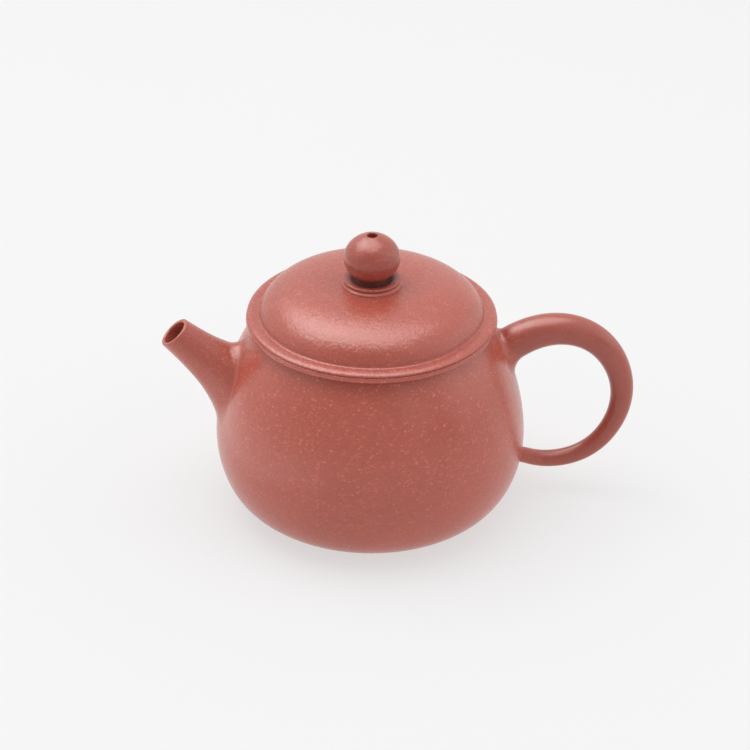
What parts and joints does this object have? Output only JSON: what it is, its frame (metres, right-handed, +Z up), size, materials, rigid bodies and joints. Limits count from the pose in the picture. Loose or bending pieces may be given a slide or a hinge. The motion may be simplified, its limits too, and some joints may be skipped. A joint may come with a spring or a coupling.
{
  "type": "clay teapot",
  "caption": "Small round unglazed red clay teapot with a short straight spout, a ring handle and a domed lid with a round pierced knob that lifts off.",
  "frame": {"origin": "centre of the flat underside of the base, on the axis of the pot", "axes": "+Z up along the axis of the pot, -X towards the spout, +X towards the handle"},
  "size_m": [0.1327, 0.087, 0.0825],
  "materials": {
    "burnished_clay": "unglazed red clay with fine pale orange specks, burnished to a soft sheen",
    "raw_clay": "unglazed red clay, left matte"
  },
  "bodies": {
    "pot": {"body_wall": "burnished_clay", "base_disc": "burnished_clay", "shoulder_disc": "burnished_clay", "mouth_ring": "burnished_clay", "spout": "burnished_clay", "spout_strainer": "raw_clay", "handle": "burnished_clay"},
    "lid": {"lid_rim": "burnished_clay", "lid_flange": "raw_clay", "lid_dome": "burnished_clay", "knob_collar": "burnished_clay", "knob": "burnished_clay"}
  },
  "joints": [
    {"name": "lid_lift", "type": "slide", "parent": "pot", "child": "lid", "axis": [0, 0, 1], "range_m": [0, 0.05]}
  ]
}
